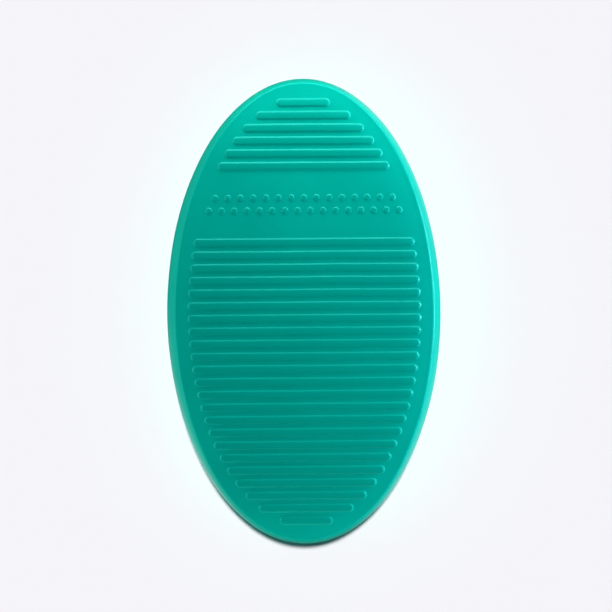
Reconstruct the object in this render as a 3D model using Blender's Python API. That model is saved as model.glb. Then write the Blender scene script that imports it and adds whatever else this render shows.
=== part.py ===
"""Oval balance pad: a moulded foam pad to stand on, modelled in the pieces it comes apart into.

Two moulded skins meet at a parting line at mid height and close over a foam core. A ring of fused
compound sits in a groove in both rims and locks the skins together, and the flanges of the rims
reach into a waist round the core and hold it.

Frame: metres, +Z up. The origin is the middle of the sole, Y runs along the pad and X across it.
"""

import math

import bmesh
import bpy

# Whole pad
LENGTH = 0.405
WIDTH = 0.2385
HEIGHT = 0.051

# Ribs across the standing face. Rows are counted from the +Y end.
RIB_PITCH = 0.01085
RIB_ROWS = 34
RIB_WIDTH = 0.0062
RIB_HEIGHT = 0.0012
RIB_ROUND = 0.0009
FIELD_MARGIN_X = 0.01975
FIELD_MARGIN_Y = 0.0188
BLANK_ROWS = range(6, 11)

# Two staggered lines of round studs in the band that the ribs leave free
STUD_RADIUS = 0.0026
STUD_HEIGHT = 0.0009
STUDS_IN_LINE = 15
STUD_BAND_ROW = 8

# Grooves across the sole, at twice the ribs' pitch
TREAD_ROWS = 16
TREAD_WIDTH = 0.0026
TREAD_DEPTH = 0.0012

# Half section of the body, above or below the parting line: a wall that bulges and leans in, more
# so away from the parting line, and a tight edge round the face. Tilts are measured from upright.
BODY_HEIGHT = HEIGHT - RIB_HEIGHT
PARTING_Z = BODY_HEIGHT / 2
EDGE_RADIUS = 0.003
TILT_LOW = math.radians(4)
TILT_HIGH = math.radians(30)
WALL_RISE = PARTING_Z - EDGE_RADIUS * (1 - math.sin(TILT_HIGH))
WALL_RADIUS = WALL_RISE / (math.sin(TILT_HIGH) - math.sin(TILT_LOW))
WALL_INSET = WALL_RADIUS * (math.cos(TILT_LOW) - math.cos(TILT_HIGH))
FACE_INSET = WALL_INSET + EDGE_RADIUS * math.cos(TILT_HIGH)
# The wall is steeper at the two tips of the pad: it leans in by this share of its lean at the sides
TIP_SHARE = 0.76

# Skins, their rims and the joint between them
GAP = 0.0003
SKIN = 0.003
CEILING = PARTING_Z - SKIN
FLANGE_INSET = 0.009
FLANGE_HEIGHT = 0.005
GROOVE_INSET = 0.003
GROOVE_WIDTH = 0.003
GROOVE_DEPTH = 0.0025

# Steps in the round shapes
OVAL_SEGMENTS = 96
END_SEGMENTS = 6
STUD_SEGMENTS = 8
WALL_STEPS = 3
EDGE_STEPS = 3
SMOOTH_ANGLE = math.radians(35)

# Colour and roughness of each piece
SKIN_COLOR = (0.0, 0.34, 0.26, 1.0)
CORE_COLOR = (0.02, 0.42, 0.33, 1.0)
RING_COLOR = (0.0, 0.26, 0.20, 1.0)


def clear_scene():
    for item in list(bpy.data.objects):
        bpy.data.objects.remove(item, do_unlink=True)


def foam_material(name, color, roughness):
    material = bpy.data.materials.new(name)
    material.use_nodes = True
    shader = material.node_tree.nodes["Principled BSDF"]
    shader.inputs["Base Color"].default_value = color
    shader.inputs["Roughness"].default_value = roughness
    shader.inputs["Metallic"].default_value = 0.0
    return material


def oval(lean, depth, z):
    """One ring of points round the pad, in from its outline by the wall's lean and then by depth."""
    points = []
    for step in range(OVAL_SEGMENTS):
        angle = 2 * math.pi * step / OVAL_SEGMENTS
        x = (WIDTH / 2 - lean - depth) * math.cos(angle)
        y = (LENGTH / 2 - lean * TIP_SHARE - depth) * math.sin(angle)
        points.append((x, y, z))
    return points


def bar_outline(half_length, half_width, y, z):
    """Outline of a bar along X with half-round ends. half_length runs to the tips of the ends."""
    points = []
    for side in (1, -1):
        centre = side * (half_length - half_width)
        for step in range(END_SEGMENTS + 1):
            angle = math.pi * (step / END_SEGMENTS - 0.5)
            x = centre + side * half_width * math.cos(angle)
            points.append((x, y + side * half_width * math.sin(angle), z))
    return points


def disc_outline(x, y, radius, z):
    points = []
    for step in range(STUD_SEGMENTS):
        angle = 2 * math.pi * step / STUD_SEGMENTS
        points.append((x + radius * math.cos(angle), y + radius * math.sin(angle), z))
    return points


def add_loft(mesh, outlines, closed=False):
    """Skin a row of outlines. A closed row joins up as a ring, an open one is capped at both ends."""
    loops = [[mesh.verts.new(point) for point in outline] for outline in outlines]
    pairs = list(zip(loops, loops[1:]))
    if closed:
        pairs.append((loops[-1], loops[0]))
    for low, high in pairs:
        for index, vertex in enumerate(low):
            after = (index + 1) % len(low)
            mesh.faces.new((vertex, low[after], high[after], high[index]))
    if not closed:
        mesh.faces.new(loops[0])
        mesh.faces.new(loops[-1])


def finish_object(name, mesh):
    bmesh.ops.recalc_face_normals(mesh, faces=mesh.faces)
    data = bpy.data.meshes.new(name)
    mesh.to_mesh(data)
    mesh.free()
    data.shade_smooth()
    data.set_sharp_from_angle(angle=SMOOTH_ANGLE)
    item = bpy.data.objects.new(name, data)
    bpy.context.collection.objects.link(item)
    return item


def boolean(target, tool, operation):
    tool.hide_render = True
    tool.display_type = "WIRE"
    modifier = target.modifiers.new(tool.name, "BOOLEAN")
    modifier.operation = operation
    modifier.object = tool


def wall_lean(rise):
    """How far the side wall has leaned in at a height above or below the parting line."""
    sine = math.sin(TILT_LOW) + rise / WALL_RADIUS
    return WALL_RADIUS * (math.cos(TILT_LOW) - math.sqrt(1 - sine * sine))


def outer_section():
    """The wall's arc and the tight edge above it, as lean, depth and rise from the parting line."""
    points = [(0.0, 0.0, GAP / 2)]
    for step in range(1, WALL_STEPS + 1):
        rise = WALL_RISE * step / WALL_STEPS
        points.append((wall_lean(rise), 0.0, rise))
    for step in range(1, EDGE_STEPS + 1):
        tilt = TILT_HIGH + (math.pi / 2 - TILT_HIGH) * step / EDGE_STEPS
        lean = FACE_INSET - EDGE_RADIUS * math.cos(tilt)
        points.append((lean, 0.0, PARTING_Z - EDGE_RADIUS * (1 - math.sin(tilt))))
    return points


def skin_section():
    """From the rim of the flat face, down the wall, round the grooved rim and up the inside."""
    groove_end = GROOVE_INSET + GROOVE_WIDTH
    return outer_section()[::-1] + [
        (0.0, GROOVE_INSET, GAP / 2),
        (0.0, GROOVE_INSET, GROOVE_DEPTH),
        (0.0, groove_end, GROOVE_DEPTH),
        (0.0, groove_end, GAP / 2),
        (0.0, FLANGE_INSET, GAP / 2),
        (0.0, FLANGE_INSET, FLANGE_HEIGHT),
        (wall_lean(FLANGE_HEIGHT), SKIN, FLANGE_HEIGHT),
        (wall_lean(CEILING), SKIN, CEILING),
    ]


def make_skin(name, side):
    """One moulded half: side is 1 above the parting line and -1 below it."""
    mesh = bmesh.new()
    section = skin_section()
    add_loft(mesh, [oval(lean, depth, PARTING_Z + side * rise) for lean, depth, rise in section])
    return finish_object(name, mesh)


def make_core():
    """Foam body with a waist that the flanges of both rims reach into."""
    half = [
        (wall_lean(CEILING), SKIN + GAP, CEILING - GAP),
        (wall_lean(FLANGE_HEIGHT), SKIN + GAP, FLANGE_HEIGHT + GAP),
        (0.0, FLANGE_INSET + GAP, FLANGE_HEIGHT + GAP),
    ]
    outlines = [oval(lean, depth, PARTING_Z + rise) for lean, depth, rise in half]
    outlines += [oval(lean, depth, PARTING_Z - rise) for lean, depth, rise in half[::-1]]
    mesh = bmesh.new()
    add_loft(mesh, outlines)
    return finish_object("foam_core", mesh)


def make_seam_ring():
    """Ring that fills the grooves of both rims."""
    outer = GROOVE_INSET + GAP
    inner = GROOVE_INSET + GROOVE_WIDTH - GAP
    reach = GROOVE_DEPTH - GAP
    section = [(outer, reach), (inner, reach), (inner, -reach), (outer, -reach)]
    mesh = bmesh.new()
    add_loft(mesh, [oval(0.0, depth, PARTING_Z + rise) for depth, rise in section], closed=True)
    return finish_object("seam_ring", mesh)


def field_half_length(y):
    """Half the length of a bar at y: the tips of all bars lie on one oval inside the face."""
    along = y / (LENGTH / 2 - FIELD_MARGIN_Y)
    return (WIDTH / 2 - FIELD_MARGIN_X) * math.sqrt(1 - along * along)


def row_y(row):
    return ((RIB_ROWS - 1) / 2 - row) * RIB_PITCH


def make_rib_bars():
    """The ribs' round-ended bars, sunk half way into the skin and rounded over at the crest."""
    levels = [
        (0.0, BODY_HEIGHT - SKIN / 2),
        (0.0, HEIGHT - RIB_ROUND),
        (RIB_ROUND, HEIGHT),
    ]
    mesh = bmesh.new()
    for row in range(RIB_ROWS):
        if row in BLANK_ROWS:
            continue
        y = row_y(row)
        half = field_half_length(y)
        add_loft(mesh, [bar_outline(half - inset, RIB_WIDTH / 2 - inset, y, z) for inset, z in levels])
    return finish_object("rib_bars", mesh)


def make_studs():
    """Two lines of studs, the second one stud longer and shifted by half a pitch."""
    mesh = bmesh.new()
    for line, count in ((0.5, STUDS_IN_LINE), (-0.5, STUDS_IN_LINE + 1)):
        y = row_y(STUD_BAND_ROW) + line * RIB_PITCH
        for index in range(count):
            x = (index - (count - 1) / 2) * RIB_PITCH
            levels = (BODY_HEIGHT - SKIN / 2, BODY_HEIGHT + STUD_HEIGHT)
            add_loft(mesh, [disc_outline(x, y, STUD_RADIUS, z) for z in levels])
    return finish_object("studs", mesh)


def make_tread_cutters():
    mesh = bmesh.new()
    for row in range(TREAD_ROWS):
        y = (row - (TREAD_ROWS - 1) / 2) * 2 * RIB_PITCH
        half = field_half_length(y)
        add_loft(mesh, [bar_outline(half, TREAD_WIDTH / 2, y, z) for z in (-SKIN, TREAD_DEPTH)])
    return finish_object("tread_cutters", mesh)


def main():
    clear_scene()
    upper_skin = make_skin("upper_skin", 1)
    boolean(upper_skin, make_rib_bars(), "UNION")
    boolean(upper_skin, make_studs(), "UNION")
    lower_skin = make_skin("lower_skin", -1)
    boolean(lower_skin, make_tread_cutters(), "DIFFERENCE")
    upper_skin.data.materials.append(foam_material("upper_skin_foam", SKIN_COLOR, 0.42))
    lower_skin.data.materials.append(foam_material("lower_skin_foam", SKIN_COLOR, 0.48))

    foam_core = make_core()
    foam_core.data.materials.append(foam_material("core_foam", CORE_COLOR, 0.9))
    seam_ring = make_seam_ring()
    seam_ring.data.materials.append(foam_material("seam_compound", RING_COLOR, 0.5))

    pad = bpy.data.objects.new("balance_pad", None)
    bpy.context.collection.objects.link(pad)
    for piece in (upper_skin, lower_skin, foam_core, seam_ring):
        piece.parent = pad


main()
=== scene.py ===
"""The looks of the oval balance pad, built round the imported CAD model.

Each CAD node is replaced by a finely shaped piece in the same place: two moulded foam skins with
rounded ribs, studs and tread, the foam core they hold and the seam ring that joins them.
Metres, +Z up, origin at the middle of the sole, Y along the pad, X across it.
"""

import math

import bmesh
import bpy
from mathutils import Matrix, Vector, noise
from mathutils.geometry import delaunay_2d_cdt


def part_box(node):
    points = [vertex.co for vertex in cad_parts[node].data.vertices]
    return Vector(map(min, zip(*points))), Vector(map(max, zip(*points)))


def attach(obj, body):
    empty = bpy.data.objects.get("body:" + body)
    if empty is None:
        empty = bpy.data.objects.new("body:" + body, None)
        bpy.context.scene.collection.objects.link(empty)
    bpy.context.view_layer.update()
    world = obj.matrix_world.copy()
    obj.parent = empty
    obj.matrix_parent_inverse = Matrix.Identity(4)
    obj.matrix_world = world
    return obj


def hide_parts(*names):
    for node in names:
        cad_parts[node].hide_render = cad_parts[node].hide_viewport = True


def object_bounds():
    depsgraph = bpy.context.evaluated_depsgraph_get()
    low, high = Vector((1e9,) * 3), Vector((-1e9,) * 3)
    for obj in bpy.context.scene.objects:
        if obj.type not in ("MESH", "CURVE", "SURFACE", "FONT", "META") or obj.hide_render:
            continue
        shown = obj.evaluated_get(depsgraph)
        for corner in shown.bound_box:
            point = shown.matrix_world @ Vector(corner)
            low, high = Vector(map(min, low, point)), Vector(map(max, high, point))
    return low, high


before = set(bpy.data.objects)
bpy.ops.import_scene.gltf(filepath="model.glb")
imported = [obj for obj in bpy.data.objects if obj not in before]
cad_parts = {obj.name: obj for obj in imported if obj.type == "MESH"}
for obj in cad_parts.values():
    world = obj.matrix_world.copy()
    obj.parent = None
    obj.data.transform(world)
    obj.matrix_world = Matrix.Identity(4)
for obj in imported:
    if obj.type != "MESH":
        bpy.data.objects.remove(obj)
cad_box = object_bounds()

# ---------------------------------------------------------------- sizes, from the frame
LOW, HIGH = cad_box
LENGTH = HIGH.y - LOW.y
WIDTH = HIGH.x - LOW.x
SOLE_Z = LOW.z
CREST_Z = HIGH.z
RING_LOW, RING_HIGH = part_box("seam_ring")
PARTING_Z = (RING_LOW.z + RING_HIGH.z) / 2
FACE_Z = 2 * PARTING_Z - SOLE_Z
RIB_HEIGHT = CREST_Z - FACE_Z

# ---------------------------------------------------------------- sizes, as designed
# Ribs, counted from the +Y end
RIB_PITCH = 0.01085
RIB_ROWS = 34
RIB_WIDTH = 0.0062
BLANK_ROWS = range(6, 11)
# Margins between the pad's outline and the oval that the tips of the ribs lie on
FIELD_MARGIN_X = 0.01975
FIELD_MARGIN_Y = 0.0188
RIB_FOOT_RADIUS = 0.0013
RIB_CREST_RADIUS = 0.0011

STUD_RADIUS = 0.0026
STUD_HEIGHT = 0.0009
STUD_ROUNDING = 0.0007
# Studs in the upper line. The lower line has one more.
STUDS_IN_LINE = 15
STUD_BAND_ROW = 8

# Slope of the sides of ribs and studs, and of the crown where it meets the crest's rounding
RELIEF_SLOPE = math.radians(37)
RELIEF_CROWN = math.radians(7)

TREAD_ROWS = 16
TREAD_WIDTH = 0.0026
TREAD_DEPTH = 0.0012
TREAD_ROUNDING = 0.0003
TREAD_SLOPE = math.radians(75)
TREAD_CROWN = math.radians(4)

# Half section of the body: a wall that bulges and leans in, more so away from the parting line, and
# a tight edge round the face. Tilts are measured from upright.
HALF_HEIGHT = PARTING_Z - SOLE_Z
EDGE_RADIUS = 0.003
TILT_LOW = math.radians(4)
TILT_HIGH = math.radians(30)
WALL_RISE = HALF_HEIGHT - EDGE_RADIUS * (1 - math.sin(TILT_HIGH))
WALL_RADIUS = WALL_RISE / (math.sin(TILT_HIGH) - math.sin(TILT_LOW))
WALL_INSET = WALL_RADIUS * (math.cos(TILT_LOW) - math.cos(TILT_HIGH))
FACE_INSET = WALL_INSET + EDGE_RADIUS * math.cos(TILT_HIGH)
# The wall is steeper at the two tips of the pad: it leans in by this share of its lean at the sides
TIP_SHARE = 0.76

# Inside of a skin: its thickness, the flange at its rim and the groove for the seam ring, with
# heights measured from the parting line. The gap is left between pieces that touch.
GAP = 0.0003
SKIN = 0.003
CEILING = HALF_HEIGHT - SKIN
FLANGE_INSET = 0.009
FLANGE_HEIGHT = 0.005
GROOVE_INSET = 0.003
GROOVE_WIDTH = 0.003
GROOVE_DEPTH = 0.0025
RIM_ROUND = 0.0004
RING_ROUND = 0.0006

# How far the moulded foam is from its true shape, and over what distance that changes
UNEVEN_BROAD = 0.00022
BROAD_SPAN = 0.055
UNEVEN_LOCAL = 0.00003
LOCAL_SPAN = 0.016
# Keeps the local unevenness clear of the middle of the broad one
LOCAL_OFFSET = Vector((7.0, 3.0, 5.0))
# noise_vector starts from the clock unless it is seeded, so this keeps every run the same
UNEVEN_SEED = 1
noise.seed_set(UNEVEN_SEED)
# The standing face falls away towards its rim, over this width
FACE_FALL = 0.0020
FALL_WIDTH = 0.026

# Fineness of the meshes
OVAL_SEGMENTS = 360
WALL_STEPS = 22
EDGE_STEPS = 10
ARC_STEPS = 5
CROWN_STEPS = 4
END_STEPS = 8
SIDE_STEP = 0.005
FILL_STEP = 0.0045
# Distance between rows of even triangles, as a share of their sides
TRIANGLE_RISE = 0.866
MERGE_DISTANCE = 2e-6
SHARP_ANGLE = math.radians(40)


# ---------------------------------------------------------------- shapes
def oval(lean, depth, z):
    """One ring of points round the pad, in from its outline by the wall's lean and then by depth."""
    points = []
    for step in range(OVAL_SEGMENTS):
        angle = 2 * math.pi * step / OVAL_SEGMENTS
        x = (WIDTH / 2 - lean - depth) * math.cos(angle)
        y = (LENGTH / 2 - lean * TIP_SHARE - depth) * math.sin(angle)
        points.append((x, y, z))
    return points


def bar_ring(half_length, half_width, y, z):
    """Outline of a bar along X with half-round ends, from its +X tip over +Y to its -X tip and back."""
    straight = half_length - half_width
    steps = max(1, round(2 * straight / SIDE_STEP))
    upper = []
    for step in range(END_STEPS + 1):
        angle = math.pi / 2 * step / END_STEPS
        upper.append((straight + half_width * math.cos(angle), half_width * math.sin(angle)))
    for step in range(1, steps):
        upper.append((straight - 2 * straight * step / steps, half_width))
    for step in range(END_STEPS + 1):
        angle = math.pi / 2 * (1 + step / END_STEPS)
        upper.append((-straight + half_width * math.cos(angle), half_width * math.sin(angle)))
    lower = [(x, -across) for x, across in upper[-2:0:-1]]
    return [(x, y + across, z) for x, across in upper + lower]


def disc_ring(x, y, radius, z):
    """Outline of a stud."""
    count = 4 * END_STEPS
    turns = [2 * math.pi * step / count for step in range(count)]
    return [(x + radius * math.cos(turn), y + radius * math.sin(turn), z) for turn in turns]


def add_loops(mesh, outlines, closed=False):
    """Skin a row of outlines with quads, and return the first and last loop of vertices."""
    loops = [[mesh.verts.new(point) for point in outline] for outline in outlines]
    pairs = list(zip(loops, loops[1:]))
    if closed:
        pairs.append((loops[-1], loops[0]))
    for low, high in pairs:
        for index, vertex in enumerate(low):
            after = (index + 1) % len(low)
            mesh.faces.new((vertex, low[after], high[after], high[index]))
    return loops[0], loops[-1]


def cap_bar(mesh, loop):
    """Close a bar's outline with rungs between its two long sides."""
    count = len(loop)
    half = count // 2
    for index in range(half):
        corners = [loop[index], loop[index + 1], loop[count - index - 1], loop[-index]]
        mesh.faces.new(list(dict.fromkeys(corners)))


def cap_disc(mesh, loop, z):
    """Close a stud's outline with a fan round its tip at z."""
    centre = sum((vertex.co for vertex in loop), Vector()) / len(loop)
    tip = mesh.verts.new((centre.x, centre.y, z))
    for index, vertex in enumerate(loop):
        mesh.faces.new((vertex, loop[(index + 1) % len(loop)], tip))


def inside_bar(x, y, bar):
    """True where a point lies inside a bar, given as half length, half width and its row's y."""
    half_length, half_width, row = bar
    along = max(abs(x) - (half_length - half_width), 0.0)
    return along * along + (y - row) * (y - row) < half_width * half_width


def fill_face(mesh, rim, holes, blocked, z):
    """Fill the flat oval inside rim with even triangles, leaving the holes open.

    holes are outlines, and blocked(x, y, margin) is True within margin of the inside of one.
    """
    points = []
    edges = []
    for outline in [rim, *holes]:
        first = len(points)
        points += [Vector(point[:2]) for point in outline]
        count = len(outline)
        edges += [(first + index, first + (index + 1) % count) for index in range(count)]
    reach_x = max(point[0] for point in rim)
    reach_y = max(point[1] for point in rim)
    rows = int(reach_y / (FILL_STEP * TRIANGLE_RISE)) + 1
    columns = int(reach_x / FILL_STEP) + 1
    for row in range(-rows, rows + 1):
        y = row * FILL_STEP * TRIANGLE_RISE
        for column in range(-columns, columns + 1):
            x = (column + (row % 2) / 2) * FILL_STEP
            edge = math.hypot(x / (reach_x - FILL_STEP / 2), y / (reach_y - FILL_STEP / 2))
            if edge < 1 and not blocked(x, y, FILL_STEP * 0.3):
                points.append(Vector((x, y)))
    flat, _, triangles, *_ = delaunay_2d_cdt(points, edges, [], 0, 1e-7)
    vertices = {}
    for triangle in triangles:
        x = sum(flat[index].x for index in triangle) / 3
        y = sum(flat[index].y for index in triangle) / 3
        if blocked(x, y, 0.0):
            continue
        for index in triangle:
            if index not in vertices:
                vertices[index] = mesh.verts.new((flat[index].x, flat[index].y, z))
        mesh.faces.new([vertices[index] for index in triangle])


def wall_lean(rise):
    """How far the side wall has leaned in at a height above or below the parting line."""
    sine = math.sin(TILT_LOW) + rise / WALL_RADIUS
    return WALL_RADIUS * (math.cos(TILT_LOW) - math.sqrt(1 - sine * sine))


def outer_section():
    """The rim's small round, the wall's arc and the tight edge above it."""
    points = []
    for step in range(ARC_STEPS + 1):
        turn = math.pi / 2 * (1 - step / ARC_STEPS)
        lean = RIM_ROUND * (1 - math.cos(turn))
        points.append((lean, 0.0, GAP / 2 + RIM_ROUND * (1 - math.sin(turn))))
    start = points[-1][2]
    for step in range(1, WALL_STEPS + 1):
        rise = start + (WALL_RISE - start) * step / WALL_STEPS
        points.append((wall_lean(rise), 0.0, rise))
    for step in range(1, EDGE_STEPS + 1):
        tilt = TILT_HIGH + (math.pi / 2 - TILT_HIGH) * step / EDGE_STEPS
        lean = FACE_INSET - EDGE_RADIUS * math.cos(tilt)
        points.append((lean, 0.0, HALF_HEIGHT - EDGE_RADIUS * (1 - math.sin(tilt))))
    return points


def skin_section():
    """From the rim of the flat face, down the wall, round the grooved rim and up the inside."""
    groove_end = GROOVE_INSET + GROOVE_WIDTH
    return outer_section()[::-1] + [
        (0.0, GROOVE_INSET, GAP / 2),
        (0.0, GROOVE_INSET, GROOVE_DEPTH),
        (0.0, groove_end, GROOVE_DEPTH),
        (0.0, groove_end, GAP / 2),
        (0.0, FLANGE_INSET, GAP / 2),
        (0.0, FLANGE_INSET, FLANGE_HEIGHT),
        (wall_lean(FLANGE_HEIGHT), SKIN, FLANGE_HEIGHT),
        (wall_lean(CEILING), SKIN, CEILING),
    ]


def relief_profile(half_width, height, foot_radius, crest_radius, side_angle, crown_tilt):
    """Section of a raised shape, from its foot to its middle, as offset from half_width and rise.

    A hollow foot runs into a slope, then a rounded crest and a crown that starts at crown_tilt.
    half_width is measured half way up the slope.
    """
    sine, cosine = math.sin(side_angle), math.cos(side_angle)
    crest_run = crest_radius * (sine - math.sin(crown_tilt))
    crest_rise = crest_radius * (math.cos(crown_tilt) - cosine)
    rise_left = height - foot_radius * (1 - cosine) - crest_rise
    lean = 1 / (2 * math.tan(side_angle))
    crown_share = math.sin(crown_tilt) - (1 - math.cos(crown_tilt)) * lean
    crown_radius = (half_width - crest_run - rise_left * lean) / crown_share
    crest_x = crown_radius * math.sin(crown_tilt) + crest_run
    crest_z = height - crown_radius * (1 - math.cos(crown_tilt)) - crest_rise
    slope_rise = crest_z - foot_radius * (1 - cosine)
    foot_x = crest_x + slope_rise * 2 * lean + foot_radius * sine

    points = []
    for step in range(ARC_STEPS + 1):
        turn = side_angle * step / ARC_STEPS
        points.append((foot_x - foot_radius * math.sin(turn), foot_radius * (1 - math.cos(turn))))
    for step in range(ARC_STEPS + 1):
        turn = side_angle + (crown_tilt - side_angle) * step / ARC_STEPS
        x = crest_x - crest_radius * (sine - math.sin(turn))
        points.append((x, crest_z + crest_radius * (math.cos(turn) - cosine)))
    for step in range(1, CROWN_STEPS):
        turn = crown_tilt * (1 - step / CROWN_STEPS)
        points.append((crown_radius * math.sin(turn), height - crown_radius * (1 - math.cos(turn))))
    return [(x - half_width, rise) for x, rise in points]


def field_half_length(y):
    """Half the length of a bar at y: the tips of all bars lie on one oval inside the face."""
    along = y / (LENGTH / 2 - FIELD_MARGIN_Y)
    return (WIDTH / 2 - FIELD_MARGIN_X) * math.sqrt(1 - along * along)


def row_y(row):
    """Where a row of the ribs' grid lies along the pad."""
    return ((RIB_ROWS - 1) / 2 - row) * RIB_PITCH


def rib_bars():
    """Half length, half width and y of each rib, at the middle of its height."""
    rows = [row_y(row) for row in range(RIB_ROWS) if row not in BLANK_ROWS]
    return [(field_half_length(y), RIB_WIDTH / 2, y) for y in rows]


def tread_bars():
    """Half length, half width and y of each groove in the sole."""
    rows = [(row - (TREAD_ROWS - 1) / 2) * 2 * RIB_PITCH for row in range(TREAD_ROWS)]
    return [(field_half_length(y), TREAD_WIDTH / 2, y) for y in rows]


def stud_centres():
    """Two staggered lines of studs in the band that the ribs leave free."""
    centres = []
    for line, count in ((0.5, STUDS_IN_LINE), (-0.5, STUDS_IN_LINE + 1)):
        y = row_y(STUD_BAND_ROW) + line * RIB_PITCH
        centres += [((index - (count - 1) / 2) * RIB_PITCH, y) for index in range(count)]
    return centres


def add_bars(mesh, bars, profile, face_z):
    """Raise bars from the standing face, or sink them into the sole, and return their outlines."""
    outlines = []
    for half_length, half_width, y in bars:
        rings = [
            bar_ring(half_length + out, half_width + out, y, face_z + rise)
            for out, rise in profile
        ]
        last = add_loops(mesh, rings)[1]
        cap_bar(mesh, last)
        outlines.append(rings[0])
    return outlines


def add_studs(mesh, profile):
    """Raise the studs from the standing face, and return their outlines."""
    outlines = []
    for x, y in stud_centres():
        rings = [disc_ring(x, y, STUD_RADIUS + out, FACE_Z + rise) for out, rise in profile]
        last = add_loops(mesh, rings)[1]
        cap_disc(mesh, last, FACE_Z + STUD_HEIGHT)
        outlines.append(rings[0])
    return outlines


def rim_distance(x, y):
    """Distance in from the pad's outline, near enough for points close to it."""
    reach = math.hypot(x / (WIDTH / 2), y / (LENGTH / 2))
    slope = math.hypot(x / (WIDTH / 2) ** 2, y / (LENGTH / 2) ** 2) / max(reach, 1e-6)
    return (1 - reach) / max(slope, 1e-6)


def no_holes(x, y, margin):
    """For fill_face, where a face has no openings."""
    return False


def settle(mesh):
    """Soft foam leaves its mould a little uneven, and its face falls away towards the rim.

    All pieces share one smooth field, so they stay clear of each other, and the sole stays flat.
    The height above the face is kept for the material, which paints shade on the crests with it: 0 on
    the face, 1 on a rib's crest.
    """
    relief = mesh.verts.layers.float.new("relief")
    for vertex in mesh.verts:
        place = vertex.co
        vertex[relief] = min(1.0, max(0.0, (place.z - FACE_Z) / RIB_HEIGHT))
        broad = noise.noise_vector(place / BROAD_SPAN)
        local = noise.noise_vector(place / LOCAL_SPAN + LOCAL_OFFSET)
        shift = broad * UNEVEN_BROAD + local * UNEVEN_LOCAL
        height = (place.z - PARTING_Z) / (FACE_Z - PARTING_Z)
        near_rim = 1 - (rim_distance(place.x, place.y) - FACE_INSET) / FALL_WIDTH
        fall = FACE_FALL * min(1.0, max(0.0, near_rim)) ** 2 * min(1.0, max(0.0, height))
        lift = min(1.0, max(0.0, 1 + height - TREAD_DEPTH / HALF_HEIGHT))
        vertex.co += Vector((shift.x, shift.y, shift.z * lift - fall))


def finish_object(name, mesh):
    """Turn a built mesh into an object of the scene, smooth apart from its sharp corners."""
    bmesh.ops.remove_doubles(mesh, verts=mesh.verts, dist=MERGE_DISTANCE)
    bmesh.ops.recalc_face_normals(mesh, faces=mesh.faces)
    data = bpy.data.meshes.new(name)
    mesh.to_mesh(data)
    mesh.free()
    data.shade_smooth()
    data.set_sharp_from_angle(angle=SHARP_ANGLE)
    item = bpy.data.objects.new(name, data)
    bpy.context.collection.objects.link(item)
    return item


def near_bars(bars, out):
    """A test for fill_face: is a point inside a bar, grown by out and a margin?"""

    def blocked(x, y, margin):
        grow = out + margin
        return any(inside_bar(x, y, (half + grow, width + grow, row)) for half, width, row in bars)

    return blocked


# ---------------------------------------------------------------- the pieces
def add_shell(mesh, side):
    """A skin's wall, rim and inside: above the parting line with side 1, below it with side -1."""
    add_loops(mesh, [oval(lean, depth, PARTING_Z + side * rise) for lean, depth, rise in skin_section()])
    inside_z = PARTING_Z + side * CEILING
    fill_face(mesh, oval(wall_lean(CEILING), SKIN, inside_z), [], no_holes, inside_z)


def make_upper_skin():
    """The upper half of the pad, with its ribs and studs."""
    mesh = bmesh.new()
    add_shell(mesh, 1)
    rib_profile = relief_profile(
        RIB_WIDTH / 2, RIB_HEIGHT, RIB_FOOT_RADIUS, RIB_CREST_RADIUS, RELIEF_SLOPE, RELIEF_CROWN
    )
    stud_profile = relief_profile(
        STUD_RADIUS, STUD_HEIGHT, STUD_ROUNDING, STUD_ROUNDING, RELIEF_SLOPE, RELIEF_CROWN
    )
    outlines = add_bars(mesh, rib_bars(), rib_profile, FACE_Z)
    outlines += add_studs(mesh, stud_profile)
    in_rib = near_bars(rib_bars(), rib_profile[0][0])

    def blocked(x, y, margin):
        reach = STUD_RADIUS + stud_profile[0][0] + margin
        near_stud = any(math.hypot(x - u, y - v) < reach for u, v in stud_centres())
        return near_stud or in_rib(x, y, margin)

    fill_face(mesh, oval(FACE_INSET, 0.0, FACE_Z), outlines, blocked, FACE_Z)
    settle(mesh)
    return finish_object("upper_skin_moulding", mesh)


def make_lower_skin():
    """The lower half of the pad, with the grooves of its tread."""
    mesh = bmesh.new()
    add_shell(mesh, -1)
    profile = relief_profile(
        TREAD_WIDTH / 2, TREAD_DEPTH, TREAD_ROUNDING, TREAD_ROUNDING, TREAD_SLOPE, TREAD_CROWN
    )
    outlines = add_bars(mesh, tread_bars(), profile, SOLE_Z)
    blocked = near_bars(tread_bars(), profile[0][0])
    fill_face(mesh, oval(FACE_INSET, 0.0, SOLE_Z), outlines, blocked, SOLE_Z)
    settle(mesh)
    return finish_object("lower_skin_moulding", mesh)


def make_core():
    """The foam inside the skins, with a waist where their flanges reach in."""
    half = [
        (wall_lean(CEILING), SKIN + GAP, CEILING - GAP),
        (wall_lean(FLANGE_HEIGHT), SKIN + GAP, FLANGE_HEIGHT + GAP),
        (0.0, FLANGE_INSET + GAP, FLANGE_HEIGHT + GAP),
    ]
    section = [(lean, depth, PARTING_Z + rise) for lean, depth, rise in half]
    section += [(lean, depth, PARTING_Z - rise) for lean, depth, rise in half[::-1]]
    mesh = bmesh.new()
    add_loops(mesh, [oval(*ring) for ring in section])
    for ring in (section[0], section[-1]):
        fill_face(mesh, oval(*ring), [], no_holes, ring[-1])
    settle(mesh)
    return finish_object("foam_core_block", mesh)


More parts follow.
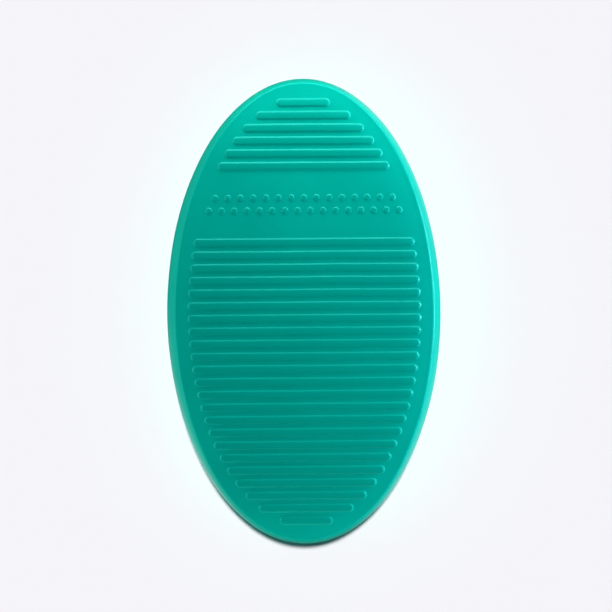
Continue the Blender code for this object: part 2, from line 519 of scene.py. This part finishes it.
def make_seam_ring():
    """The ring that fills the grooves of both rims, with rounded corners."""
    outer = GROOVE_INSET + GAP
    inner = GROOVE_INSET + GROOVE_WIDTH - GAP
    reach = GROOVE_DEPTH - GAP
    section = []
    for sign_in, sign_up in ((-1, 1), (1, 1), (1, -1), (-1, -1)):
        centre_in = (outer + inner) / 2 + sign_in * ((inner - outer) / 2 - RING_ROUND)
        centre_up = sign_up * (reach - RING_ROUND)
        start = math.atan2(sign_up, sign_in) - math.pi / 4
        for step in range(ARC_STEPS + 1):
            turn = start + math.pi / 2 * (1 - step / ARC_STEPS)
            depth = centre_in + RING_ROUND * math.cos(turn)
            section.append((depth, centre_up + RING_ROUND * math.sin(turn)))
    mesh = bmesh.new()
    add_loops(mesh, [oval(0.0, depth, PARTING_Z + rise) for depth, rise in section], closed=True)
    settle(mesh)
    return finish_object("seam_ring_bead", mesh)


# ---------------------------------------------------------------- materials
SKIN_LIGHT = (0.0, 0.365, 0.268, 1.0)
SKIN_DARK = (0.0, 0.325, 0.239, 1.0)
# Painted shade: the darker colour given to the crests of ribs and studs
CREST_PAINTED_SHADE = (0.0, 0.303, 0.223, 1.0)
SHINE_TINT = (0.04, 0.96, 1.0, 1.0)
CORE_DARK = (0.01, 0.30, 0.23, 1.0)
CORE_LIGHT = (0.03, 0.46, 0.37, 1.0)
SEAM_DARK = (0.0, 0.22, 0.17, 1.0)
SEAM_LIGHT = (0.0, 0.29, 0.22, 1.0)


def node_material(name):
    material = bpy.data.materials.new(name)
    material.use_nodes = True
    nodes = material.node_tree.nodes
    return material, nodes, material.node_tree.links, nodes["Principled BSDF"]


def noise_node(nodes, links, coordinates, scale, detail):
    node = nodes.new("ShaderNodeTexNoise")
    node.inputs["Scale"].default_value = scale
    node.inputs["Detail"].default_value = detail
    links.new(coordinates, node.inputs["Vector"])
    return node.outputs["Fac"]


def range_node(nodes, links, value, low, high, to_low, to_high):
    """Map a value from low..high to to_low..to_high, and hold it there beyond both ends."""
    node = nodes.new("ShaderNodeMapRange")
    node.inputs["From Min"].default_value = low
    node.inputs["From Max"].default_value = high
    node.inputs["To Min"].default_value = to_low
    node.inputs["To Max"].default_value = to_high
    links.new(value, node.inputs["Value"])
    return node.outputs["Result"]


def combine(nodes, links, operation, first, second):
    node = nodes.new("ShaderNodeMath")
    node.operation = operation
    links.new(first, node.inputs[0])
    links.new(second, node.inputs[1])
    return node.outputs[0]


def bump_node(nodes, links, height, distance):
    node = nodes.new("ShaderNodeBump")
    node.inputs["Distance"].default_value = distance
    links.new(height, node.inputs["Height"])
    return node.outputs["Normal"]


def mix_color(nodes, links, factor, first, second):
    """Mix two colours. The first can also be another node's output."""
    node = nodes.new("ShaderNodeMix")
    node.data_type = "RGBA"
    links.new(factor, node.inputs["Factor"])
    if isinstance(first, bpy.types.NodeSocket):
        links.new(first, node.inputs["A"])
    else:
        node.inputs["A"].default_value = first
    node.inputs["B"].default_value = second
    return node.outputs["Result"]


def skin_material():
    """Smooth moulded foam: cloudy colour, rib crests darkened by painted shade, a fine grain and a soft,
    patchy shine.
    """
    material, nodes, links, shader = node_material("moulded_foam_skin")
    place = nodes.new("ShaderNodeTexCoord").outputs["Object"]
    cloud = noise_node(nodes, links, place, 14.0, 3.0)
    fine = noise_node(nodes, links, place, 900.0, 2.0)
    patch = noise_node(nodes, links, place, 40.0, 4.0)
    tone = range_node(nodes, links, cloud, 0.3, 0.7, 0.0, 1.0)
    relief = nodes.new("ShaderNodeAttribute")
    relief.attribute_name = "relief"
    # Painted shade: the colour darkens towards the crests, by their height above the face
    painted_crest_shade = range_node(nodes, links, relief.outputs["Fac"], 0.3, 0.9, 0.0, 1.0)
    foam = mix_color(nodes, links, tone, SKIN_DARK, SKIN_LIGHT)
    links.new(mix_color(nodes, links, painted_crest_shade, foam, CREST_PAINTED_SHADE), shader.inputs["Base Color"])
    links.new(range_node(nodes, links, patch, 0.3, 0.7, 0.28, 0.31), shader.inputs["Roughness"])
    links.new(bump_node(nodes, links, fine, 0.00004), shader.inputs["Normal"])
    shader.inputs["Specular Tint"].default_value = SHINE_TINT
    return material


def core_material():
    """Matt foam with the fine grain of its closed cells."""
    material, nodes, links, shader = node_material("closed_cell_foam")
    place = nodes.new("ShaderNodeTexCoord").outputs["Object"]
    cells = nodes.new("ShaderNodeTexVoronoi")
    cells.inputs["Scale"].default_value = 900.0
    links.new(place, cells.inputs["Vector"])
    tone = range_node(nodes, links, cells.outputs["Distance"], 0.0, 0.8, 0.0, 1.0)
    color = mix_color(nodes, links, tone, CORE_DARK, CORE_LIGHT)
    links.new(color, shader.inputs["Base Color"])
    links.new(bump_node(nodes, links, cells.outputs["Distance"], 0.0003), shader.inputs["Normal"])
    shader.inputs["Roughness"].default_value = 0.9
    return material


def seam_material():
    """Compound that has flowed and set."""
    material, nodes, links, shader = node_material("fused_compound")
    place = nodes.new("ShaderNodeTexCoord").outputs["Object"]
    flow = noise_node(nodes, links, place, 300.0, 3.0)
    color = mix_color(nodes, links, flow, SEAM_DARK, SEAM_LIGHT)
    links.new(color, shader.inputs["Base Color"])
    links.new(range_node(nodes, links, flow, 0.3, 0.7, 0.4, 0.55), shader.inputs["Roughness"])
    links.new(bump_node(nodes, links, flow, 0.0001), shader.inputs["Normal"])
    return material


# ---------------------------------------------------------------- stage, lights and camera
# The floor's glow as the pad's shine sees it, beside its +Y half, its -Y half and its upper right
BOUNCE_FAR = 0.02
BOUNCE_NEAR = 0.85
BOUNCE_RIGHT = 0.60
# The floor's glow as it lights the pad's colour
BOUNCE_DIFFUSE = 1.0
# Where the glow changes, as coordinates on the floor
FAR_TO_NEAR_Y = (0.01, -0.115)
RIGHT_X = (0.02, 0.07)
RIGHT_Y = (0.02, 0.09)
# The glow dims towards the -Y tip and its shadow. What the shine sees of it also dims away from the
# pad, over these shares of the pad's own reach.
CONTACT_Y = (-0.16, -0.215)
CLOSE_REACH = (1.03, 1.38)
DIMMED = 0.1
# Strength of the light from the air
AIR = 0.06

FLOOR_DROP = 0.0004
# How far the floor reaches in under the sole, from the rim of the sole
FLOOR_TUCK = 0.012
FLOOR_RADII = (0.3, 1.0, 5.0, 30.0)

# Light of the lamps on the right, and the places that lamps are aimed at
COOL = (0.70, 0.86, 1.0)
ABOVE_MIDDLE = (0.0, 0.0, 0.03)
ABOVE_TOP = (0.0, 0.1, 0.05)
ABOVE_BOTTOM = (0.0, -0.1, 0.05)

# Focal length in millimetres
LENS = 88.2353
CAMERA_PLACE = (0.0021, 0.0045, 1.334)
# Turns of the camera about Y, X and Z, in degrees
CAMERA_TURNS = (("Y", -1.1), ("X", -0.7), ("Z", -0.44))


def light_path(nodes, ray):
    return nodes.new("ShaderNodeLightPath").outputs[ray]


def mix_shaders(nodes, links, factor, first, second):
    node = nodes.new("ShaderNodeMixShader")
    links.new(factor, node.inputs["Fac"])
    links.new(first, node.inputs[1])
    links.new(second, node.inputs[2])
    return node.outputs["Shader"]


def vector_math(nodes, links, operation, vector):
    node = nodes.new("ShaderNodeVectorMath")
    node.operation = operation
    links.new(vector, node.inputs[0])
    return node


def floor_material():
    """Matt white paper, clear from below.

    Close to the pad it glows, for the pad's rays only: a painted glow at its -Y half and upper right
    side.
    """
    material, nodes, links, paper = node_material("pale_paper")
    paper.inputs["Base Color"].default_value = (0.86, 0.828, 0.855, 1.0)
    paper.inputs["Roughness"].default_value = 0.9
    paper.inputs["Specular IOR Level"].default_value = 0.1
    place = nodes.new("ShaderNodeTexCoord").outputs["Object"]
    split = nodes.new("ShaderNodeSeparateXYZ")
    links.new(place, split.inputs["Vector"])
    fade = range_node(nodes, links, split.outputs["Y"], *FAR_TO_NEAR_Y, BOUNCE_FAR, BOUNCE_NEAR)
    right = range_node(nodes, links, split.outputs["X"], *RIGHT_X, 0.0, BOUNCE_RIGHT)
    upper = range_node(nodes, links, split.outputs["Y"], *RIGHT_Y, 0.0, 1.0)
    contact = range_node(nodes, links, split.outputs["Y"], *CONTACT_Y, 1.0, DIMMED)
    share = vector_math(nodes, links, "MULTIPLY", place)
    share.inputs[1].default_value = (2 / WIDTH, 2 / LENGTH, 0.0)
    reach = vector_math(nodes, links, "LENGTH", share.outputs["Vector"]).outputs["Value"]
    close = range_node(nodes, links, reach, *CLOSE_REACH, 1.0, DIMMED)
    right = combine(nodes, links, "MULTIPLY", right, upper)
    mirrored = combine(nodes, links, "MULTIPLY", combine(nodes, links, "ADD", fade, right), close)
    spread = nodes.new("ShaderNodeMix")
    links.new(light_path(nodes, "Is Diffuse Ray"), spread.inputs["Factor"])
    links.new(mirrored, spread.inputs["A"])
    spread.inputs["B"].default_value = BOUNCE_DIFFUSE
    glow = nodes.new("ShaderNodeEmission")
    glow.inputs["Color"].default_value = (0.97, 0.98, 1.0, 1.0)
    strength = combine(nodes, links, "MULTIPLY", spread.outputs["Result"], contact)
    links.new(strength, glow.inputs["Strength"])
    camera_ray = light_path(nodes, "Is Camera Ray")
    above = mix_shaders(nodes, links, camera_ray, glow.outputs[0], paper.outputs[0])
    clear = nodes.new("ShaderNodeBsdfTransparent").outputs[0]
    below = nodes.new("ShaderNodeNewGeometry").outputs["Backfacing"]
    both = mix_shaders(nodes, links, below, above, clear)
    links.new(both, nodes["Material Output"].inputs["Surface"])
    return material


def make_stage():
    """A wide pale floor, open under the middle of the sole so that the lamp below can light the sole."""
    floor_z = SOLE_Z - FLOOR_DROP
    rings = [oval(FACE_INSET, FLOOR_TUCK, floor_z)]
    turns = [2 * math.pi * step / OVAL_SEGMENTS for step in range(OVAL_SEGMENTS)]
    for radius in FLOOR_RADII:
        rings.append([(radius * math.cos(turn), radius * math.sin(turn), floor_z) for turn in turns])
    mesh = bmesh.new()
    add_loops(mesh, rings)
    stage = finish_object("studio_floor", mesh)
    if stage.data.polygons[0].normal.z < 0:
        stage.data.flip_normals()
    stage.data.materials.append(floor_material())
    return stage


def softbox(name, place, size, power, lit, aim=ABOVE_MIDDLE, color=(1.0, 1.0, 1.0), shine=True):
    """A soft rectangular lamp on the objects in one collection, with or without highlights.

    Sizes are in metres and power is in watts.
    """
    data = bpy.data.lights.new(name, "AREA")
    data.shape = "RECTANGLE"
    data.size, data.size_y = size
    data.energy = power
    data.color = color
    light = bpy.data.objects.new(name, data)
    bpy.context.collection.objects.link(light)
    light.location = place
    light.rotation_euler = (Vector(aim) - Vector(place)).to_track_quat("-Z", "Y").to_euler()
    light.visible_camera = False
    light.visible_glossy = shine
    light.light_linking.receiver_collection = lit


def sunlight(name, elevation, spread, power, lit):
    """Even light from the +Y side. Elevation and spread are in degrees."""
    data = bpy.data.lights.new(name, "SUN")
    data.angle = math.radians(spread)
    data.energy = power
    light = bpy.data.objects.new(name, data)
    bpy.context.collection.objects.link(light)
    light.rotation_euler.x = math.radians(elevation - 90)
    light.light_linking.receiver_collection = lit


def make_lights(pad, floor):
    """Soft lamps and strips round the pad, one below its sole, and even light on the floor."""
    softbox("left_low_softbox", (-0.80, -0.12, 0.16), (1.0, 0.25), 1.5, pad, shine=False)
    softbox("left_softbox", (-0.85, 0.05, 0.45), (1.0, 0.5), 2.9, pad)
    softbox("left_corner_softbox", (-0.36, 0.50, 0.22), (0.5, 0.15), 1.1, pad, shine=False)
    softbox("left_foot_softbox", (-0.50, -0.34, 0.06), (0.5, 0.10), 1.5, pad, shine=False)
    softbox("right_low_softbox", (0.80, 0.0, 0.08), (0.9, 0.14), 4.2, pad, color=COOL, shine=False)
    softbox("right_strip", (0.80, 0.08, 0.05), (0.5, 0.06), 4.2, pad, color=COOL)
    softbox("right_high_softbox", (0.48, 0.05, 0.47), (0.8, 0.3), 4.9, pad, color=COOL, shine=False)
    softbox("right_corner_strip", (0.72, 0.12, 0.05), (0.3, 0.08), 0.8, pad, color=COOL)
    softbox("top_strip", (0.02, 0.27, 0.10), (0.40, 0.06), 0.42, pad, ABOVE_TOP)
    softbox("top_fill", (0.02, 0.26, 0.11), (0.40, 0.08), 0.05, pad, ABOVE_TOP, shine=False)
    softbox("bottom_strip", (0.0, -0.27, 0.08), (0.30, 0.06), 0.13, pad, ABOVE_BOTTOM, shine=False)
    softbox("sole_softbox", (0.0, 0.0, -0.8), (1.2, 1.2), 6.0, pad)
    sunlight("floor_sun", 74, 6, 3.4, floor)


def make_world():
    """Dim studio air, which looks pale behind the pad."""
    world = bpy.data.worlds.new("studio_air")
    bpy.context.scene.world = world
    world.use_nodes = True
    nodes, links = world.node_tree.nodes, world.node_tree.links
    air = nodes["Background"]
    air.inputs["Color"].default_value = (0.45, 0.93, 1.0, 1.0)
    air.inputs["Strength"].default_value = AIR
    backdrop = nodes.new("ShaderNodeBackground")
    backdrop.inputs["Color"].default_value = (0.89, 0.89, 0.90, 1.0)
    seen = light_path(nodes, "Is Camera Ray")
    both = mix_shaders(nodes, links, seen, air.outputs[0], backdrop.outputs[0])
    links.new(both, nodes["World Output"].inputs["Surface"])


def make_camera():
    """Looks down on the face almost square on, with the +Y end at the top of the picture."""
    data = bpy.data.cameras.new("camera")
    data.sensor_width = 36.0
    data.lens = LENS
    camera = bpy.data.objects.new("camera", data)
    bpy.context.collection.objects.link(camera)
    turn = Matrix.Identity(4)
    for axis, degrees in CAMERA_TURNS:
        turn = turn @ Matrix.Rotation(math.radians(degrees), 4, axis)
    camera.matrix_world = turn @ Matrix.Translation(CAMERA_PLACE)
    bpy.context.scene.camera = camera


# ---------------------------------------------------------------- put together
def collect(name, objects):
    """A collection that lamps can be limited to."""
    group = bpy.data.collections.new(name)
    for item in objects:
        group.objects.link(item)
    return group


skin = skin_material()
pieces = [
    (make_upper_skin(), "upper_skin", "skin_foam", skin),
    (make_lower_skin(), "lower_skin", "skin_foam", skin),
    (make_core(), "foam_core", "core_foam", core_material()),
    (make_seam_ring(), "seam_ring", "seam_compound", seam_material()),
]
for piece, node, slot, material in pieces:
    piece.data.materials.append(material)
    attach(piece, "root")
    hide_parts(node)

make_camera()
make_lights(collect("pad_pieces", [piece for piece, *_ in pieces]), collect("stage", [make_stage()]))
make_world()
bpy.context.scene.view_settings.view_transform = "Standard"
